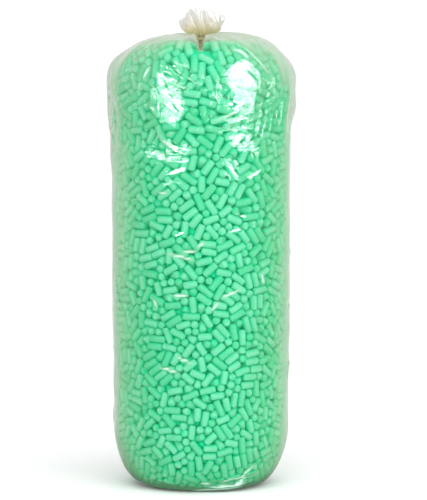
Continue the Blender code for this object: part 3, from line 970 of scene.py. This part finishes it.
# %% Helpers for finishes
def new_material(name):
    """A material, its node tree and its Principled shader."""
    material = bpy.data.materials.new(name)
    material.use_nodes = True
    return material, material.node_tree, material.node_tree.nodes["Principled BSDF"]


def feed(socket, value):
    """Links a socket to another node's output, or sets its number or colour."""
    if isinstance(value, bpy.types.NodeSocket):
        socket.id_data.links.new(value, socket)
    else:
        socket.default_value = value


def add_node(tree, kind, inputs=None, **options):
    """A node with these options, and its sockets fed by name or by number."""
    node = tree.nodes.new("ShaderNode" + kind)
    for option, value in options.items():
        setattr(node, option, value)
    for socket, value in (inputs or {}).items():
        feed(node.inputs[socket], value)
    return node


def colour_ramp(tree, value, stops):
    """The colour output of a ramp with these (position, red, green, blue) stops."""
    node = add_node(tree, "ValToRGB", {"Fac": value})
    elements = node.color_ramp.elements
    for element, stop in zip(elements, (stops[0], stops[-1])):
        element.position = stop[0]
        element.color = (*stop[1:], 1)
    for stop in stops[1:-1]:
        elements.new(stop[0]).color = (*stop[1:], 1)
    return node.outputs["Color"]


def map_range(tree, value, lowest, highest, **options):
    """The output of a node that maps lowest[0] to highest[0] onto lowest[1] to highest[1]."""
    limits = dict(zip(("From Min", "To Min", "From Max", "To Max"), lowest + highest))
    return add_node(tree, "MapRange", {"Value": value, **limits}, **options).outputs[0]


print("materials so far:", len(bpy.data.materials))

# %% [markdown]
# Foam first. It is matt, and light goes some way into it. The light that comes back out of the
# gaps has passed through other peanuts and lost its red, so the gaps are a stronger green than
# the peanuts themselves, and are never quite dark. The burial number paints that green gap light
# into the base colour, and adds a faint painted glow. Each peanut has its own tone, and the cells
# of the foam show as a fine grain.

# %% Foam
PALE_FOAM = (0.182, 0.635, 0.43)
DARK_FOAM = (0.102, 0.57, 0.325)
# Painted gap light: a strong green mixed in by burial, and a painted glow, for light that has
# passed through other peanuts.
PAINTED_GAP_LIGHT_FOAM = (0.004, 0.56, 0.29, 1)
PAINTED_GAP_GLOW = (0.0, 0.085, 0.040, 1)

foam, tree, shader = new_material("green_starch_foam")
place = add_node(tree, "TexCoord").outputs["Object"]
tone = add_node(tree, "Attribute", attribute_name="tone").outputs["Fac"]
burial = add_node(tree, "Attribute", attribute_name="buried").outputs["Fac"]
mottle = add_node(tree, "TexNoise", {"Vector": place, "Scale": 60, "Detail": 3}).outputs["Fac"]
blend = add_node(tree, "Math", {0: mottle, 1: 0.5, 2: tone}, operation="MULTIPLY_ADD").outputs[0]
surface = colour_ramp(tree, blend, [(0.2, *DARK_FOAM), (1.0, *PALE_FOAM)])
painted_gap_colour = add_node(tree, "Mix", {0: burial, 6: surface, 7: PAINTED_GAP_LIGHT_FOAM}, data_type="RGBA").outputs[2]
grain = add_node(tree, "TexVoronoi", {"Vector": place, "Scale": 700}).outputs["Distance"]
bump = add_node(tree, "Bump", {"Height": grain, "Strength": 0.25, "Distance": 0.0006})
foam_finish = {
    "Base Color": painted_gap_colour,
    "Roughness": 0.85,
    "Specular IOR Level": 0.10,
    "Subsurface Weight": 0.6,
    "Subsurface Radius": (0.25, 1.0, 0.65),
    "Subsurface Scale": 0.009,
    "Emission Color": PAINTED_GAP_GLOW,
    "Emission Strength": burial,
    "Normal": bump.outputs["Normal"],
}
for socket, value in foam_finish.items():
    feed(shader.inputs[socket], value)
for piece in heap_pieces + [heap_inside]:
    piece.data.materials.clear()
    piece.data.materials.append(foam)
print("foam on", len(heap_pieces) + 1, "pieces")

# %% [markdown]
# Film next. Seen straight on, a thin clear film hides almost nothing. Seen at a flat angle, the
# view passes through more of it and it reflects more, so the bag's edges turn pale, and what
# shows through them a little tan. Layer Weight gives the angle for all three: its fifth power for
# the gloss, and softer ramps for the milkiness and the tint.

# %% How milky the film is
FACING_BLEND = 0.5
MILK_BY_ANGLE = [(0.0, 0.005), (0.15, 0.02), (0.40, 0.10), (0.68, 0.45), (1.0, 0.90)]
TINT_BY_ANGLE = [(0.10, 0.97, 0.98, 0.97), (0.62, 0.94, 0.88, 0.72)]

clear_film, tree, shader = new_material("clear_poly_film")
tree.nodes.remove(shader)
haze_value = add_node(tree, "Attribute", attribute_name="haze").outputs["Fac"]
milk_colour = add_node(tree, "Attribute", attribute_name="milk_colour").outputs
facing = add_node(tree, "LayerWeight", {"Blend": FACING_BLEND}).outputs["Facing"]
rim = colour_ramp(tree, facing, [(position, grey, grey, grey) for position, grey in MILK_BY_ANGLE])
milk_amount = add_node(tree, "Math", {0: rim, 1: haze_value}, operation="ADD", use_clamp=True)
milk = add_node(tree, "BsdfDiffuse", {"Color": milk_colour["Color"]}).outputs[0]
glow = add_node(tree, "BsdfTranslucent", {"Color": milk_colour["Color"]}).outputs[0]
milky = add_node(tree, "MixShader", {0: milk_colour["Alpha"], 1: milk, 2: glow}).outputs[0]
tint = colour_ramp(tree, facing, TINT_BY_ANGLE)
clear = add_node(tree, "BsdfTransparent", {"Color": tint}).outputs[0]
body = add_node(tree, "MixShader", {0: milk_amount.outputs[0], 1: clear, 2: milky}).outputs[0]
print("stops of the milkiness:", len(MILK_BY_ANGLE))

# %% The film's gloss and crinkle
FACE_ON_GLOSS = 0.07
GLOSS_POWER = 5.0
CRINKLE_FOLD = 0.16
CRINKLE_DEPTH = 0.0045

place = add_node(tree, "TexCoord").outputs["Object"]
crumpled_value = add_node(tree, "Attribute", attribute_name="crumpled").outputs["Fac"]
crinkle = {"Vector": place, "Scale": 38, "Detail": 3, "Distortion": 1.4}
crinkle = add_node(tree, "TexNoise", crinkle).outputs["Fac"]
ridge = add_node(tree, "Math", {0: crinkle, 1: CRINKLE_FOLD}, operation="PINGPONG").outputs[0]
bump = {"Strength": crumpled_value, "Distance": CRINKLE_DEPTH, "Height": ridge}
bump = add_node(tree, "Bump", bump).outputs["Normal"]
gloss = {"Color": (1, 1, 1, 1), "Roughness": 0.06, "Normal": bump}
gloss = add_node(tree, "BsdfAnisotropic", gloss).outputs[0]
angle = add_node(tree, "LayerWeight", {"Blend": FACING_BLEND, "Normal": bump}).outputs["Facing"]
steepness = add_node(tree, "Math", {0: angle, 1: GLOSS_POWER}, operation="POWER").outputs[0]
reflected = {0: steepness, 1: 1 - FACE_ON_GLOSS, 2: FACE_ON_GLOSS}
reflected = add_node(tree, "Math", reflected, operation="MULTIPLY_ADD").outputs[0]
surface = add_node(tree, "MixShader", {0: reflected, 1: body, 2: gloss}).outputs[0]
feed(tree.nodes["Material Output"].inputs["Surface"], surface)
film_mesh.materials.append(clear_film)
print("film material nodes:", len(tree.nodes))

# %% [markdown]
# The tie keeps its CAD shape. Its finish is plain cream paper over a wire.

# %% Tie
tie_paper, tree, shader = new_material("cream_tie_paper")
place = add_node(tree, "TexCoord").outputs["Object"]
fibre = add_node(tree, "TexNoise", {"Vector": place, "Scale": 400}).outputs["Fac"]
cream = colour_ramp(tree, fibre, [(0.0, 0.62, 0.54, 0.36), (1.0, 0.78, 0.71, 0.53)])
feed(shader.inputs["Base Color"], cream)
feed(shader.inputs["Roughness"], 0.7)
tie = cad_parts["neck_tie"]
tie.data.materials.clear()
tie.data.materials.append(tie_paper)

# %% [markdown]
# ## Stage and light
#
# The photo's background is plain white, with a soft shadow only round the base. The room itself
# is the main light, strongest from the front and weaker from above. The glossy film sees another
# room, dark in front and bright behind, so that two soft boxes stand out on it: a narrow slanted
# one at the left of the shoulder, and a broad one at its right.

# %% Floor
FLOOR_SIZE = 30

bpy.ops.mesh.primitive_plane_add(size=1)
floor = bpy.context.object
floor.name = "floor"
floor.data.transform(Matrix.Diagonal((FLOOR_SIZE, FLOOR_SIZE, 1, 1)))
floor_paint, tree, shader = new_material("white_floor")
feed(shader.inputs["Base Color"], (0.95, 0.95, 0.95, 1))
feed(shader.inputs["Roughness"], 0.9)
floor.data.materials.append(floor_paint)
floor.visible_glossy = False
print("floor of", FLOOR_SIZE, "m")

# %% The room's light
FRONT_LEVEL = 3.27
SIDE_LEVEL = 0.30
TOP_LEVEL = 0.68
SEEN_LEVEL = 1.05
BACKWARDS = (-0.20, 0.98, 0)

world = bpy.data.worlds.new("studio")
world.use_nodes = True
tree = world.node_tree
background = tree.nodes["Background"]
feed(background.inputs["Color"], (1, 1, 1, 1))
way = add_node(tree, "TexCoord").outputs["Generated"]
rays = add_node(tree, "LightPath").outputs
away = add_node(tree, "VectorMath", {0: way, 1: BACKWARDS}, operation="DOT_PRODUCT")
away = away.outputs["Value"]
height = add_node(tree, "SeparateXYZ", {0: way}).outputs["Z"]

front = map_range(tree, away, (-1.0, FRONT_LEVEL), (-0.1, SIDE_LEVEL))
overhead = map_range(tree, height, (0.3, 0.0), (0.8, TOP_LEVEL))
room = add_node(tree, "Math", {0: front, 1: overhead}).outputs[0]
behind = map_range(tree, away, (-0.10, 0.12), (0.75, 0.85), interpolation_type="SMOOTHSTEP")
below = map_range(tree, height, (-0.40, 0.10), (-0.12, 1.0))
mirrored = add_node(tree, "Math", {0: behind, 1: below}, operation="MULTIPLY").outputs[0]
level = add_node(tree, "Mix", {0: rays["Is Glossy Ray"], 2: room, 3: mirrored}).outputs[0]
seen = add_node(tree, "Mix", {0: rays["Is Camera Ray"], 2: level, 3: SEEN_LEVEL}).outputs[0]
feed(background.inputs["Strength"], seen)
scene.world = world
print("world nodes:", len(tree.nodes))


# %% Soft boxes and colour management
def soft_box(name, direction, distance, target, width, height, power, roll=0):
    """A rectangular light that faces the target from this direction. roll turns it, in degrees."""
    light = bpy.data.lights.new(name, "AREA")
    light.shape = "RECTANGLE"
    light.size = width
    light.size_y = height
    light.energy = power
    lamp = bpy.data.objects.new(name, light)
    way = Vector(direction).normalized()
    lamp.location = Vector(target) + way * distance
    rolled = Matrix.Rotation(math.radians(roll), 3, "Z")
    lamp.rotation_euler = (way.to_track_quat("Z", "Y").to_matrix() @ rolled).to_euler()
    lamp.visible_camera = False
    lamp.visible_diffuse = False
    scene.collection.objects.link(lamp)


soft_box(
    "left_soft_box", direction=(-0.85, -1.0, 0), distance=1.3, target=(0, 0, 0.975),
    width=0.95, height=0.12, power=8.4, roll=-12,
)
soft_box(
    "right_soft_box", direction=(1.20, -1.0, 0), distance=1.3, target=(0, 0, 1.005),
    width=0.90, height=0.36, power=15,
)
scene.view_settings.view_transform = "Standard"
scene.view_settings.look = "None"
print("lights:", [light.name for light in bpy.data.lights])

# %% [markdown]
# The heap and the film move with the root, and the CAD parts that they stand for are hidden.

# %% Pieces and the frame
for piece in heap_pieces + [heap_inside]:
    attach(piece, "root")
    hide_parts("peanut_fill")
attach(film, "root")
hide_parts("bag_film")
